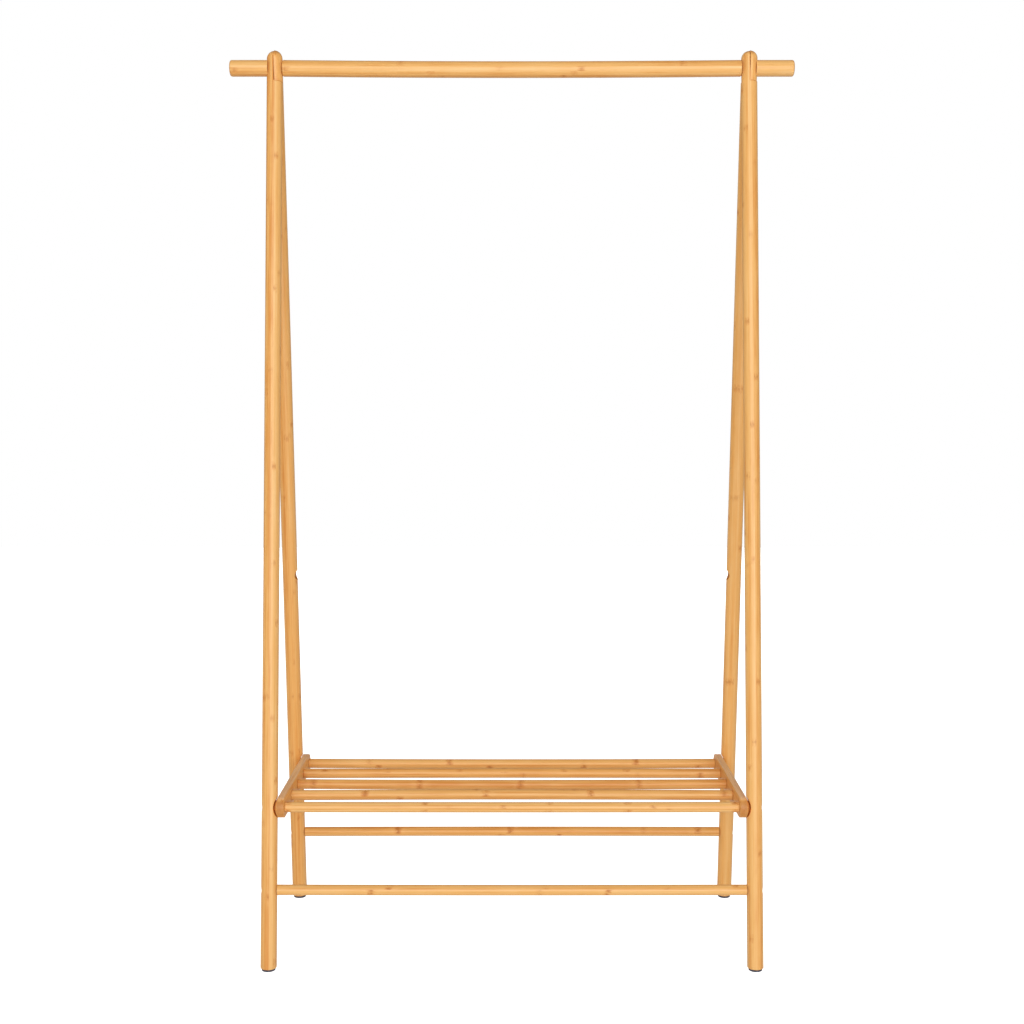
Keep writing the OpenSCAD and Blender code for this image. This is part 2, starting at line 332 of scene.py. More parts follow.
class BambooGraph(Graph):
    """The nodes of laminated bamboo. The grain runs along the piece's own Z axis."""

    def __init__(self, tree):
        super().__init__(tree)
        self.given = self.node("NodeGroupInput").outputs
        coords = self.node("ShaderNodeTexCoord").outputs
        self.x, self.y, self.z = self.axes(coords["Object"])
        self.facing = self.axes(coords["Normal"])
        self.lay_strips()
        self.fibre = self.grain(FIBRE)
        self.fleck = self.grain(FLECK)

    def lay_strips(self):
        """Strips, thin across the piece's X and wide across its Y, each with a random number."""
        seed, strip = self.given["Seed"], self.given["Strip"]
        across = self.add(self.over(self.x, strip), self.times(seed, ROW_SHIFT))
        self.row = self.math("FLOOR", across)
        deep = self.over(self.y, self.times(strip, STRIP_DEPTH))
        deep = self.add(deep, self.times(self.row, COLUMN_SHIFT))
        self.column = self.math("FLOOR", deep)
        self.draw = self.chance(self.vector(self.row, self.column, seed))
        self.along = self.add(self.z, self.times(self.draw, FIBRE_SHIFT))
        row_seam = self.ramp(self.off_middle(across), 0.46, 0.5)
        column_seam = self.ramp(self.off_middle(deep), 0.484, 0.5)
        self.seam = self.math("MAXIMUM", row_seam, column_seam)

    def grain(self, texture):
        """One of the textures drawn out along the grain."""
        across, along, detail, roughness = texture
        x, y = self.times(self.x, across), self.times(self.y, across)
        return self.noise(self.vector(x, y, self.times(self.along, along)), 1.0, detail, roughness)

    def tones(self):
        """The wood without its knots: fibres, slow changes of tone, fine flecks and seams."""
        value = self.scaled(self.minus(self.draw, 0.5), STRIP_CONTRAST, 0.5)
        for texture, contrast in ((self.fibre, FIBRE_CONTRAST), (self.grain(STREAK), STREAK_CONTRAST),
                                  (self.grain(CLOUD), CLOUD_CONTRAST)):
            value = self.scaled(self.minus(texture, 0.5), contrast, value)
        color = self.mix(self.ramp(value, 0.18, 0.52), AMBER, HONEY)
        color = self.mix(self.ramp(value, 0.48, 0.86), color, PALE)
        color = self.mix(self.times(self.ramp(self.fleck, 0.60, 0.78), 0.22), color, AMBER)
        return self.mix(self.times(self.seam, 0.30), color, AMBER)

    def knots(self, color):
        """Knots: one in each strip every knot gap, each with its own strength."""
        seed, gap = self.given["Seed"], self.given["Knot gap"]
        turns = self.add(self.over(self.z, gap), self.times(self.add(self.draw, seed), KNOT_SHIFT))
        number = self.math("FLOOR", turns)
        cell = self.vector(self.add(self.row, KNOT_DRAW), self.add(self.column, number), seed)
        luck = self.chance(cell)
        along = self.times(self.minus(self.math("FRACT", turns), 0.5), gap)
        wander = self.times(self.minus(luck, 0.5), self.times(gap, KNOT_WANDER))
        off = self.math("ABSOLUTE", self.add(along, wander))
        off = self.scaled(self.minus(self.grain(KNOT_RIM), 0.5), KNOT_RAGGED, off)
        patchy = self.ramp(self.grain(KNOT_PATCH), 0.30, 0.56)
        strength = self.times(self.times(self.ramp(luck, 0.08, 0.75), patchy), self.given["Knot depth"])
        self.smudge = self.times(self.ramp(off, *KNOT_SMUDGE), strength)
        self.line = self.times(self.ramp(off, *KNOT_CORE), strength)
        halo = self.times(self.times(self.ramp(off, *KNOT_HALO), strength), 0.30)
        color = self.mix(halo, color, PALE)
        color = self.mix(self.times(self.smudge, 0.85), color, KNOT)
        return self.mix(self.times(self.line, 0.45), color, KNOT_LINE)

    def end_grain(self, color):
        """End grain: darker, with the cut ends of the fibres as dots."""
        self.end = self.ramp(self.math("ABSOLUTE", self.facing[2]), 0.36, 0.90)
        dots = self.node("ShaderNodeTexVoronoi")
        self.feed(dots.inputs["Vector"], self.vector(self.x, self.y, 0.0))
        dots.inputs["Scale"].default_value = 1300.0
        dot = self.ramp(dots.outputs["Distance"], 0.55, 0.15)
        end_color = self.mix(self.times(dot, 0.5), END_GRAIN, KNOT_LINE)
        return self.mix(self.times(self.end, 0.60), color, end_color)

    def ply_edges_and_sheen(self, color):
        """The edges of the plies, on a board's top and bottom: paler and less orange, partly the plies'
        own colour and partly a painted sheen.
        """
        ply_sheen_faces = self.ramp(self.math("ABSOLUTE", self.facing[1]), 0.75, 0.98)
        lines = self.noise(self.vector(self.times(self.x, 900.0), 0.0, self.times(self.z, 9.0)))
        ply_sheen_color = self.mix(self.ramp(lines, 0.3, 0.7), PLY_DARK_WITH_SHEEN, PLY_PALE_WITH_SHEEN)
        return self.mix(self.times(ply_sheen_faces, self.given["Ply edge and sheen"]), color, ply_sheen_color)

    def roughness(self):
        """Duller on knots and end grain."""
        rough = self.scaled(self.fibre, 0.16, 0.34)
        return self.scaled(self.math("MAXIMUM", self.smudge, self.end), 0.15, rough)

    def height(self):
        """Raised fibres, with the seams and the knots' lines sunk."""
        height = self.scaled(self.fleck, 0.35, self.times(self.fibre, 0.6))
        height = self.minus(height, self.times(self.seam, 0.5))
        return self.minus(height, self.times(self.line, 0.25))


def make_bamboo_group():
    group = bpy.data.node_groups.new("laminated_bamboo", "ShaderNodeTree")
    floats = ("Seed", "Strip", "Knot gap", "Knot depth", "Ply edge and sheen")
    sockets = [(name, "INPUT", "NodeSocketFloat") for name in floats]
    sockets += [("Tint", "INPUT", "NodeSocketColor"), ("Color", "OUTPUT", "NodeSocketColor")]
    sockets += [(name, "OUTPUT", "NodeSocketFloat") for name in ("Roughness", "Height")]
    for name, direction, kind in sockets:
        group.interface.new_socket(name, in_out=direction, socket_type=kind)
    g = BambooGraph(group)
    color = g.ply_edges_and_sheen(g.end_grain(g.knots(g.tones())))
    out = g.node("NodeGroupOutput")
    g.feed(out.inputs["Color"], g.mix(1.0, color, g.given["Tint"], "MULTIPLY"))
    g.feed(out.inputs["Roughness"], g.roughness())
    g.feed(out.inputs["Height"], g.height())
    return group


bamboo_group = make_bamboo_group()


def bamboo(name, seed, wood, tint=FRONT_TINT, ply_edge_and_sheen=0.0):
    """A lacquered bamboo finish with its own knots and tints."""
    strip, knot_gap, knot_depth = wood
    material, g, shader = new_material(name)
    grain = g.node("ShaderNodeGroup", node_tree=bamboo_group)
    set_values(grain, {"Seed": seed, "Strip": strip, "Knot gap": knot_gap, "Knot depth": knot_depth,
                       "Ply edge and sheen": ply_edge_and_sheen, "Tint": tuple(tint) + (1.0,)})
    g.feed(shader.inputs["Base Color"], grain.outputs["Color"])
    g.feed(shader.inputs["Roughness"], grain.outputs["Roughness"])
    g.bump(shader, grain.outputs["Height"], 0.28, 0.25 * MM)
    set_values(shader, {"IOR": 1.48, "Specular IOR Level": 0.42})
    set_values(shader, {"Coat Weight": 0.18, "Coat Roughness": 0.32})
    return material


def cut_and_shaded_bamboo(name, seed, tint):
    """Bamboo cut after lacquering: no coat and hardly any shine. Its tint makes it darker, partly for the
    raw cut and partly as painted shade.
    """
    material = bamboo(name, seed, CUT_WOOD, tint)
    shader = material.node_tree.nodes["Principled BSDF"]
    set_values(shader, {"Coat Weight": 0.0, "Specular IOR Level": 0.02})
    return material


# ---- metal and rubber ----

METAL_GRAIN = 900.0
# The cloudy patches' size against the fine marks, and how dark they are
CLOUD_SHARE = 0.12
CLOUD_SHADE = 0.82
RUBBER_DARK = linear(66, 68, 80)
RUBBER_PALE = linear(96, 98, 110)


def metal(name, color, roughness):
    """Plated metal with fine turning marks and a little unevenness in its gloss."""
    material, g, shader = new_material(name)
    coords = g.node("ShaderNodeTexCoord").outputs["Object"]
    marks = g.noise(coords, METAL_GRAIN, 4.0, 0.6)
    cloud = g.noise(coords, METAL_GRAIN * CLOUD_SHARE)
    shade = tuple(CLOUD_SHADE * level for level in color[:3]) + (1.0,)
    g.feed(shader.inputs["Base Color"], g.mix(g.ramp(cloud, 0.35, 0.7), color, shade))
    g.feed(shader.inputs["Roughness"], g.scaled(marks, 0.25, roughness - 0.1))
    g.bump(shader, marks, 0.12, 0.05 * MM)
    shader.inputs["Metallic"].default_value = 1.0
    return material


def rubber(name):
    """Slate-grey moulded rubber with a fine matt texture and paler scuffs."""
    material, g, shader = new_material(name)
    coords = g.node("ShaderNodeTexCoord").outputs["Object"]
    pores = g.noise(coords, 1800.0, 3.0, 0.6)
    scuff = g.noise(coords, 160.0, 3.0, 0.6)
    g.feed(shader.inputs["Base Color"], g.mix(g.ramp(scuff, 0.45, 0.75), RUBBER_DARK, RUBBER_PALE))
    g.feed(shader.inputs["Roughness"], g.scaled(scuff, 0.25, 0.60))
    g.bump(shader, pores, 0.4, 0.1 * MM)
    shader.inputs["Specular IOR Level"].default_value = 0.3
    return material


# ---- shapes ----

# Sides of the turned pieces, and of the shapes that cut them
AROUND = 96
SCOOP_AROUND = 160
COPE_AROUND = 128
SINK_AROUND = 64
HOLE_AROUND = 48
PILOT_AROUND = 24
ON_AXIS = 1e-7
CREASE_DEGREES = 32.0
ALONG_X = Matrix.Rotation(math.pi / 2, 4, "Y")
# More than any distance across a leg
BIG = 0.1


def arc(centre_r, centre_z, radius, start, end, steps):
    """Points (r, z) along an arc, with angles in degrees from +r towards +z."""
    points = []
    for step in range(steps + 1):
        angle = math.radians(start + (end - start) * step / steps)
        points.append((centre_r + radius * math.cos(angle), centre_z + radius * math.sin(angle)))
    return points


def circle(shape, r, z, around):
    """New points of a shape, in a circle about Z."""
    points = []
    for step in range(around):
        angle = 2 * math.pi * step / around
        points.append(shape.verts.new((r * math.cos(angle), r * math.sin(angle), z)))
    return points


def lathe(profile, around=AROUND):
    """A closed solid turned about Z from points (r, z) that start and end on the axis."""
    shape = bmesh.new()
    rings = []
    for r, z in profile:
        if r < ON_AXIS:
            rings.append([shape.verts.new((0.0, 0.0, z))])
        else:
            rings.append(circle(shape, r, z, around))
    for lower, upper in zip(rings, rings[1:]):
        for step in range(around):
            after = (step + 1) % around
            if len(lower) == 1 and len(upper) > 1:
                shape.faces.new((lower[0], upper[after], upper[step]))
            elif len(upper) == 1 and len(lower) > 1:
                shape.faces.new((lower[step], lower[after], upper[0]))
            elif len(lower) > 1:
                shape.faces.new((lower[step], lower[after], upper[after], upper[step]))
    bmesh.ops.recalc_face_normals(shape, faces=shape.faces)
    return shape


def ring_lathe(outline, around=AROUND):
    """A ring turned about Z from a closed outline of points (r, z)."""
    shape = bmesh.new()
    rings = [circle(shape, r, z, around) for r, z in outline]
    for lower, upper in zip(rings, rings[1:] + rings[:1]):
        for step in range(around):
            after = (step + 1) % around
            shape.faces.new((lower[step], lower[after], upper[after], upper[step]))
    bmesh.ops.recalc_face_normals(shape, faces=shape.faces)
    return shape


def closed_box(low, high):
    shape = bmesh.new()
    bmesh.ops.create_cube(shape, size=1.0)
    low, high = Vector(low), Vector(high)
    for vert in shape.verts:
        vert.co = Vector(low[i] + (vert.co[i] + 0.5) * (high[i] - low[i]) for i in range(3))
    return shape


def rod_shape(radius, length, around, start=0.0):
    """A plain closed cylinder along Z from z = start."""
    return lathe([(0.0, start), (radius, start), (radius, start + length), (0.0, start + length)], around)


def turned(shape, matrix):
    bmesh.ops.transform(shape, matrix=matrix, verts=shape.verts)
    return shape


def make_object(name, shape):
    mesh = bpy.data.meshes.new(name)
    shape.to_mesh(mesh)
    shape.free()
    made = bpy.data.objects.new(name, mesh)
    bpy.context.scene.collection.objects.link(made)
    return made


def taken_shape(piece):
    """A piece's mesh as a new shape. The piece itself is removed."""
    shape = bmesh.new()
    shape.from_mesh(piece.data)
    bpy.data.objects.remove(piece)
    return shape


def joined(name, shapes):
    """One object from several closed shapes."""
    whole = bmesh.new()
    for shape in shapes:
        mesh = bpy.data.meshes.new("part")
        shape.to_mesh(mesh)
        shape.free()
        whole.from_mesh(mesh)
        bpy.data.meshes.remove(mesh)
    return make_object(name, whole)


def carve(piece, cutters):
    """Cuts the cutter shapes out of a piece."""
    for number, cutter in enumerate(cutters):
        tool = make_object(f"cutter_{number}", cutter)
        cut = piece.modifiers.new("cut", "BOOLEAN")
        cut.operation = "DIFFERENCE"
        cut.solver = "MANIFOLD"
        cut.object = tool
        graph = bpy.context.evaluated_depsgraph_get()
        result = bpy.data.meshes.new_from_object(piece.evaluated_get(graph))
        piece.modifiers.clear()
        old = piece.data
        piece.data = result
        bpy.data.meshes.remove(old)
        bpy.data.objects.remove(tool)


def smooth(piece):
    """Smooth shading, with creases kept where faces meet at more than CREASE_DEGREES."""
    mesh = piece.data
    shape = bmesh.new()
    shape.from_mesh(mesh)
    for face in shape.faces:
        face.smooth = True
    limit = math.radians(CREASE_DEGREES)
    for edge in shape.edges:
        sharp = len(edge.link_faces) == 2 and edge.calc_face_angle(0.0) > limit
        edge.smooth = not sharp
    shape.to_mesh(mesh)
    shape.free()


def settle(piece, place, roll, slide):
    """Puts a piece in its place, and turns and slides its own axes along Z inside it.

    The grain follows the piece's own axes, so each piece shows a different part of the wood.
    """
    twist = Matrix.Rotation(math.radians(roll), 4, "Z") @ Matrix.Translation((0.0, 0.0, slide))
    piece.data.transform(twist.inverted())
    piece.matrix_world = place @ twist


def finish_piece(piece, node, body, slot, *materials):
    keep = [face.material_index for face in piece.data.polygons]
    piece.data.materials.clear()
    for material in materials:
        piece.data.materials.append(material)
    for face, number in zip(piece.data.polygons, keep):
        face.material_index = min(number, len(materials) - 1)
    smooth(piece)
    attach(piece, body)
    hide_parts(node)


def bowed(shape, half, drop):
    """Bends a shape along Z so that its middle moves by drop along +X."""
    for vert in shape.verts:
        share = max(0.0, 1.0 - (vert.co.z / half) ** 2)
        vert.co.x += drop * share
    return shape


def stations(low, high, count):
    """The heights between low and high that split the distance into count parts."""
    return [low + (high - low) * step / count for step in range(1, count)]


# ---- sizes from the frame ----

def middle(node):
    low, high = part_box(node)
    return (low + high) / 2


def span(node):
    low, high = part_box(node)
    return high - low


leg_low, leg_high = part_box("front_leg_right")
leg_r = (leg_high.x - leg_low.x) / 2
leg_x = (leg_high.x + leg_low.x) / 2
inner_x = leg_x - leg_r
apex_z = middle("hanging_rod").z
pad_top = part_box("foot_pad_front_right")[1].z
pad_y = middle("foot_pad_rear_right").y
tilt = math.atan(pad_y / (apex_z - pad_top / 2))
head_reach = (leg_high.z - apex_z - leg_r) / math.cos(tilt)
foot_cut = leg_low.z
pivot = Vector(frame["joints"][0]["pos_m"])
stretcher_z = middle("front_stretcher").z

# Cuts in the legs, as the CAD has them
COPE_LENGTH = 170 * MM
COPE_GAP = 0.1 * MM
STUD_HOLE_R = 4.2 * MM
SCOOP_CHORD = 36 * MM
SCOOP_DEPTH = 6.5 * MM
SCOOP_R = ((SCOOP_CHORD / 2) ** 2 + SCOOP_DEPTH ** 2) / (2 * SCOOP_DEPTH)
NOTCH_R = 12.3 * MM
NOTCH_DEPTH = 4.2 * MM
NOTCH_Z = 652 * MM
SINK_DEPTH = 6 * MM
BOLT_SINK_R = 6.5 * MM
BOLT_HOLE_R = 3.2 * MM
PIVOT_SINK_R = 7.0 * MM
PIVOT_HOLE_R = 4.05 * MM
PEG_HOLE_R = 5.05 * MM
PILOT_HOLE_R = 1.55 * MM
PILOT_START = -15 * MM
PILOT_LENGTH = 34 * MM

# The half-lap: its seam is wider and its shoulder lower than in the CAD, so that they show
LAP_GAP = 0.7 * MM
LAP_SHOULDER = 25.3 * MM
# The scored lines beside it, which the CAD leaves out
SCORE_WIDTH = 0.6 * MM
SCORE_DEPTH = 1.0 * MM
SCORE_INSET = 0.25 * MM

# The eased edge under each leg, and how much deeper than in the CAD the pegs' holes are
FOOT_EDGE = 1.6 * MM
PEG_HOLE_SPARE = 0.2 * MM
# Cut faces are those this far inside the leg's skin at the lap, or this near a scoop's surface
SKIN = 0.2 * MM
SCOOP_REACH = 0.05 * MM


# ---- legs ----

def down_leg(z):
    """Distance from the rod axis to height z, measured along a leg."""
    return (apex_z - z) / math.cos(tilt)


def leg_place(side, row):
    return Matrix.Translation((side * leg_x, 0.0, apex_z)) @ Matrix.Rotation(row * tilt, 4, "X")


def pole_profile():
    foot = -down_leg(-leg_r)
    points = [(0.0, foot), (leg_r, foot)]
    points += [(leg_r, z) for z in stations(foot, head_reach, 24)]
    return points + arc(0.0, head_reach, leg_r, 0.0, 90.0, 14)


def across_x(radius, x_from, x_to, z, around):
    """A cylinder along X at height z in a leg's own axes."""
    shape = rod_shape(radius, x_to - x_from, around)
    return turned(shape, Matrix.Translation((x_from, 0.0, z)) @ ALONG_X)


def scoop(side, z, radius, depth):
    """A round hollow across Y, in the leg's inner side at height z."""
    length = 6 * leg_r
    shape = rod_shape(radius, length, SCOOP_AROUND, -length / 2)
    at = Matrix.Translation((-side * (leg_r - depth + radius), 0.0, -down_leg(z)))
    return turned(shape, at @ Matrix.Rotation(math.pi / 2, 4, "X"))


def bolt_recess(side, z, hole_r, sink_r):
    """The shank's hole and the head's recess, on the leg's outer side."""
    level = -down_leg(z)
    reach = 2 * leg_r
    start, end = sorted((side * (leg_r - SINK_DEPTH), side * reach))
    hole = across_x(hole_r, -reach, reach, level, HOLE_AROUND)
    return [hole, across_x(sink_r, start, end, level, SINK_AROUND)]


def lap_cutters(row):
    """What the other leg's half takes from the head, and the scored lines beside the joint.

    A front leg keeps the half of its head towards -X, and a rear leg the half towards +X.
    """
    kept = sorted((row * LAP_GAP / 2, row * BIG))
    given_up = sorted((row * LAP_GAP / 2, -row * BIG))
    half = closed_box((given_up[0], -BIG, -LAP_SHOULDER), (given_up[1], BIG, BIG))
    other = rod_shape(leg_r + COPE_GAP, COPE_LENGTH, COPE_AROUND, -COPE_LENGTH)
    cope = make_object("cope", turned(other, Matrix.Rotation(-2 * row * tilt, 4, "X")))
    carve(cope, [closed_box((kept[0], -BIG, -2 * BIG), (kept[1], BIG, BIG))])
    return [half, taken_shape(cope)] + joint_lines(row, kept)


def joint_lines(row, kept):
    """The scored lines that show beside the half-lap's seam and under its shoulder."""
    start = LAP_GAP / 2 + SCORE_INSET
    xs = sorted((row * start, row * (start + SCORE_WIDTH)))
    ys = sorted((row * (leg_r - SCORE_DEPTH), row * 2 * leg_r))
    seam = closed_box((xs[0], ys[0], -LAP_SHOULDER), (xs[1], ys[1], head_reach))
    top = -LAP_SHOULDER - SCORE_INSET
    low, inside, outside = top - SCORE_WIDTH, leg_r - SCORE_DEPTH, 2 * leg_r
    ring = make_object("ring", ring_lathe([(inside, low), (outside, low), (outside, top), (inside, top)]))
    carve(ring, [closed_box((kept[0], -BIG, -BIG), (kept[1], BIG, BIG))])
    return [seam, taken_shape(ring)]


def peg_hole(side, into):
    """The hole for the peg under the back of the shelf's rail."""
    peg = middle(f"rest_peg_{SIDE_NAMES[side]}")
    at = Matrix.Translation((side * (inner_x + PEG_HOLE_SPARE), peg.y, peg.z))
    return turned(rod_shape(PEG_HOLE_R, 2 * leg_r, HOLE_AROUND, -leg_r), into @ at @ ALONG_X)


def foot_cutters(side, row, into):
    """The level cut under the leg, its eased edge and the screw's hole."""
    at_foot = into @ Matrix.Translation((side * leg_x, row * pad_y, 0.0))
    below = closed_box((-BIG, -BIG, -2 * BIG), (BIG, BIG, foot_cut))
    rim = arc(leg_r - FOOT_EDGE, foot_cut + FOOT_EDGE, FOOT_EDGE, -90.0, -5.0, 6)
    rim += [(2 * leg_r, foot_cut + 3 * FOOT_EDGE), (2 * leg_r, -leg_r), (leg_r - FOOT_EDGE, -leg_r)]
    pilot = rod_shape(PILOT_HOLE_R, PILOT_LENGTH, PILOT_AROUND, PILOT_START)
    return [turned(shape, at_foot) for shape in (below, ring_lathe(rim), pilot)]


def mark_cuts(leg, side, scoops):
    """Gives the lap's inner faces, the scored lines beside it and the scoops the leg's second material:
    the darker cut wood, which is partly painted shade.
    """
    for face in leg.data.polygons:
        centre = face.center
        if -LAP_SHOULDER - MM < centre.z < head_reach and centre.xy.length < leg_r - SKIN:
            face.material_index = 1
        for z, radius, depth in scoops:
            off_axis = Vector((centre.x + side * (leg_r - depth + radius), centre.z + down_leg(z)))
            if abs(off_axis.length - radius) < SCOOP_REACH:
                face.material_index = 1


def make_leg(side, row):
    name = f"{ROW_NAMES[row]}_leg_{SIDE_NAMES[side]}"
    leg = make_object(f"{name}_pole", lathe(pole_profile()))
    place = leg_place(side, row)
    into = place.inverted()
    scoops = [(pivot.z, SCOOP_R, SCOOP_DEPTH)]
    cutters = lap_cutters(row)
    cutters.append(across_x(STUD_HOLE_R, -2 * leg_r, 2 * leg_r, 0.0, HOLE_AROUND))
    cutters.append(scoop(side, *scoops[0]))
    cutters += bolt_recess(side, stretcher_z, BOLT_HOLE_R, BOLT_SINK_R)
    # The cut faces take darker cut wood that is partly painted shade: the scoop's wood in front, the
    # notch's wood at the rear
    if row == FRONT:
        tint, cut_and_shade_wood = FRONT_TINT, scoop_cut_and_shade
        cutters += bolt_recess(side, pivot.z, PIVOT_HOLE_R, PIVOT_SINK_R)
    else:
        # The rear legs' tint is painted shade
        tint, cut_and_shade_wood = REAR_PAINTED_SHADE_TINT, notch_cut_and_shade
        scoops.append((NOTCH_Z, NOTCH_R, NOTCH_DEPTH))
        cutters += [scoop(side, *scoops[1]), peg_hole(side, into)]
    carve(leg, cutters + foot_cutters(side, row, into))
    mark_cuts(leg, side, scoops)
    seed = 3.0 + 2 * side + row * 0.7
    settle(leg, place, roll=40.0 * seed, slide=1.9 + 0.83 * seed)
    material = bamboo(f"bamboo_{name}", seed, POLE_WOOD, tint)
    finish_piece(leg, name, "frame", "bamboo_pole", material, cut_and_shade_wood)


# ---- feet ----

PAD_HOLE_R = 1.7 * MM
PAD_RECESS_R = 3.2 * MM
PAD_RECESS_DEPTH = 2.8 * MM
PAD_RECESS_FLARE = (0.4 * MM, 0.3 * MM)
PAD_LIP = 0.9 * MM
PAD_EDGE = 0.4 * MM


def make_foot(side, row):
    """A round pad with a hole for its screw, recessed from below for the head."""
    node = f"foot_pad_{ROW_NAMES[row]}_{SIDE_NAMES[side]}"
    size = span(node)
    radius, height = size.x / 2, size.z
    flare_r, flare_z = PAD_RECESS_FLARE
    outline = [(PAD_HOLE_R, height), (PAD_HOLE_R, PAD_RECESS_DEPTH), (PAD_RECESS_R, PAD_RECESS_DEPTH)]
    outline += [(PAD_RECESS_R, flare_z), (PAD_RECESS_R + flare_r, 0.0)]
    outline += arc(radius - PAD_LIP, PAD_LIP, PAD_LIP, -90.0, 0.0, 5)
    outline += arc(radius - PAD_EDGE, height - PAD_EDGE, PAD_EDGE, 0.0, 90.0, 3)
    pad = make_object(f"{node}_rubber", ring_lathe(outline))
    settle(pad, Matrix.Translation((side * leg_x, row * pad_y, 0.0)), roll=0.0, slide=0.0)
    finish_piece(pad, node, "frame", "foot_rubber", pad_rubber)


# ---- bars along X ----

# How far the rod ends reach round the legs, and how close they come to them
SADDLE = 3 * MM
SADDLE_GAP = 0.12 * MM
# How far the middle of the hanging rod and of each stretcher bows
ROD_SAG = 2.2 * MM
STRETCHER_BOW = 0.6 * MM
BORE_EDGE = 0.3 * MM
INSERT_R = 6 * MM
INSERT_DEPTH = 22 * MM

# Ends of bars: rounding, bore radius and bore depth
ROD_BORED = (2.0 * MM, INSERT_R, INSERT_DEPTH)
SADDLE_BORED = (0.8 * MM, INSERT_R, INSERT_DEPTH + SADDLE)
ROD_TIP = (3.5 * MM, 0.0, 0.0)
STRETCHER_BORED = (0.5 * MM, 5.0 * MM, 19 * MM)
SHELF_BAR_BORED = (0.5 * MM, INSERT_R, INSERT_DEPTH)
PEG_ENDS = ((1.0 * MM, 0.0, 0.0), (0.5 * MM, 0.0, 0.0))


def end_profile(radius, tip, rounding, bore_r, bore_depth):
    """A bar's outline from its side round to the end at z = tip and back to the axis."""
    outline = arc(radius - rounding, tip - rounding, rounding, 0.0, 90.0, 6)
    if not bore_r:
        return outline + [(0.0, tip)]
    floor_z = tip - bore_depth
    outline += [(bore_r + BORE_EDGE, tip), (bore_r, tip - BORE_EDGE)]
    return outline + [(bore_r, floor_z), (0.0, floor_z)]


def bar_solid(radius, low, high, low_end, high_end, count=40):
    """A bar along Z. Each end is (rounding, bore radius, bore depth)."""
    upper = end_profile(radius, high, *high_end)
    lower = [(r, -z) for r, z in end_profile(radius, -low, *low_end)]
    body = [(radius, z) for z in stations(low + low_end[0], high - high_end[0], count)]
    return lathe(list(reversed(lower)) + body + upper)


def make_hanging_rod():
    size = span("hanging_rod")
    half = size.x / 2
    shape = bowed(bar_solid(size.z / 2, -half, half, ROD_BORED, ROD_BORED), half, ROD_SAG)
    rod = make_object("hanging_rod_pole", shape)
    settle(rod, Matrix.Translation(middle("hanging_rod")) @ ALONG_X, roll=35.0, slide=6.4)
    finish_piece(rod, "hanging_rod", "frame", "bamboo_pole", bamboo("bamboo_rod", 11.3, ROD_WOOD))


def make_rod_end(side):
    """A rod end with a rounded tip, saddled against its leg."""
    node = f"rod_end_{SIDE_NAMES[side]}"
    size = span(node)
    radius, half = size.z / 2, size.x / 2
    if side == RIGHT:
        shape = bar_solid(radius, -half - SADDLE, half, SADDLE_BORED, ROD_TIP, count=8)
    else:
        shape = bar_solid(radius, -half, half + SADDLE, ROD_TIP, SADDLE_BORED, count=8)
    tip = make_object(f"{node}_pole", shape)
    place = Matrix.Translation(middle(node)) @ ALONG_X
    leg_space = rod_shape(leg_r + SADDLE_GAP, 4 * leg_r, COPE_AROUND, -2 * leg_r)
    beside = leg_place(side, FRONT if side == LEFT else REAR)
    carve(tip, [turned(leg_space, place.inverted() @ beside)])
    settle(tip, place, roll=80.0 + 50.0 * side, slide=2.2 + side)
    finish_piece(tip, node, "frame", "bamboo_pole", bamboo(f"bamboo_{node}", 14.0 + side, ROD_WOOD))


def make_stretcher(row):
    node = f"{ROW_NAMES[row]}_stretcher"
    size = span(node)
    half = size.x / 2
    shape = bar_solid(size.z / 2, -half, half, STRETCHER_BORED, STRETCHER_BORED)
    bar = make_object(f"{node}_bar", bowed(shape, half, -STRETCHER_BOW * row))
    seed = 21.0 + 3 * row
    settle(bar, Matrix.Translation(middle(node)) @ ALONG_X, roll=62.0 * seed, slide=0.31 * seed)
    # The rear stretcher's tint is painted shade, darker for the weaker light at the back
    tint = FRONT_TINT if row == FRONT else REAR_PAINTED_SHADE_TINT
    material = bamboo(f"bamboo_{node}", seed, STRETCHER_WOOD, tint)
    finish_piece(bar, node, "frame", "bamboo_bar", material)


def make_rest_peg(side):
    node = f"rest_peg_{SIDE_NAMES[side]}"
    size = span(node)
    half = size.x / 2
    peg = make_object(f"{node}_dowel", bar_solid(size.z / 2, -half, half, *PEG_ENDS, count=4))
    settle(peg, Matrix.Translation(middle(node)) @ ALONG_X, roll=20.0 * side, slide=1.0)
    # The pegs take the rear tint, which is painted shade
    material = bamboo(f"bamboo_{node}", 50.0 + side, PEG_WOOD, REAR_PAINTED_SHADE_TINT)
    finish_piece(peg, node, "frame", "bamboo_bar", material)


# ---- shelf ----

# How far the middle of each shelf bar bows down, front bar first
BAR_BOWS = [0.4 * MM, -1.2 * MM, 1.6 * MM, -0.6 * MM, 0.9 * MM]
BAR_STEPS = len(BAR_BOWS) - 1
BAR_EDGE = 0.5 * MM
BAR_END_GAP = 0.05 * MM
TENON_R = 6 * MM
TENON_EDGE = 0.8 * MM
# The rails' sockets: radius, length, and how far past the inner face their middle lies
SOCKET_R = 6.05 * MM
SOCKET_LENGTH = 10 * MM
SOCKET_MIDDLE = 4.2 * MM
RAIL_EDGE = 1.1 * MM
# A rail's rims are where its faces meet at more than this angle, in radians
RIM_ANGLE = 1.0
# A rail's own axes: X across, Y up, Z to the back. They are left-handed, so its faces come
# out pointing inward where the matrix is applied to the mesh
RAIL_AXES = Matrix(((1, 0, 0, 0), (0, 0, 1, 0), (0, 1, 0, 0), (0, 0, 0, 1)))


